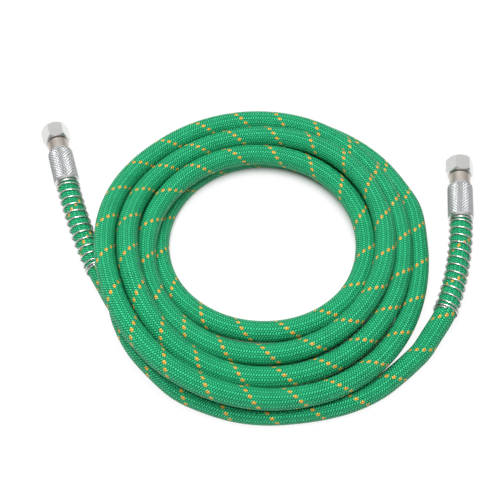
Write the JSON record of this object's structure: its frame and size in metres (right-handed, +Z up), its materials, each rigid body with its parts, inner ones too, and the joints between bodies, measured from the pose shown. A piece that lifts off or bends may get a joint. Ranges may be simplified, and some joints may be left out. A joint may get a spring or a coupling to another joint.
{
  "type": "coiled air hose",
  "caption": "Flexible high-pressure air hose lying in a flat oval coil, with a female swivel nut, crimped ferrule and wire bend guard at each end.",
  "frame": {"origin": "on the ground, under the middle of the whole hose as it lies coiled", "axes": "+Z up, +X along the coil's long side, -Y towards the side where the free ends leave the coil"},
  "size_m": [0.3094, 0.24, 0.0443],
  "materials": {
    "braid": "woven textile braid, green with an orange tracer",
    "rubber": "matt",
    "zinc_wire": "bright zinc-plated spring wire",
    "zinc_plate": "bright zinc plate",
    "nickel_brass": "nickel-plated, satin"
  },
  "bodies": {
    "hose": {"hose_coil": "braid", "left_lead": "braid", "right_lead": "braid", "left_spring_guard": "zinc_wire", "right_spring_guard": "zinc_wire", "left_ferrule": "zinc_plate", "right_ferrule": "zinc_plate", "left_hose_end": "braid", "right_hose_end": "braid", "left_inner_tube": "rubber", "right_inner_tube": "rubber", "left_stem": "nickel_brass", "right_stem": "nickel_brass"},
    "left_nut": {"left_swivel_nut": "zinc_plate"},
    "right_nut": {"right_swivel_nut": "zinc_plate"}
  },
  "joints": [
    {"name": "left_nut_swivel", "type": "hinge", "parent": "hose", "child": "left_nut", "pos_m": [-0.14393, 0.09836, 0.00991], "axis": [-0.2756, 0.9613, 0], "continuous": true},
    {"name": "right_nut_swivel", "type": "hinge", "parent": "hose", "child": "right_nut", "pos_m": [0.14472, 0.06992, 0.00991], "axis": [0.0785, 0.9969, 0], "continuous": true}
  ]
}
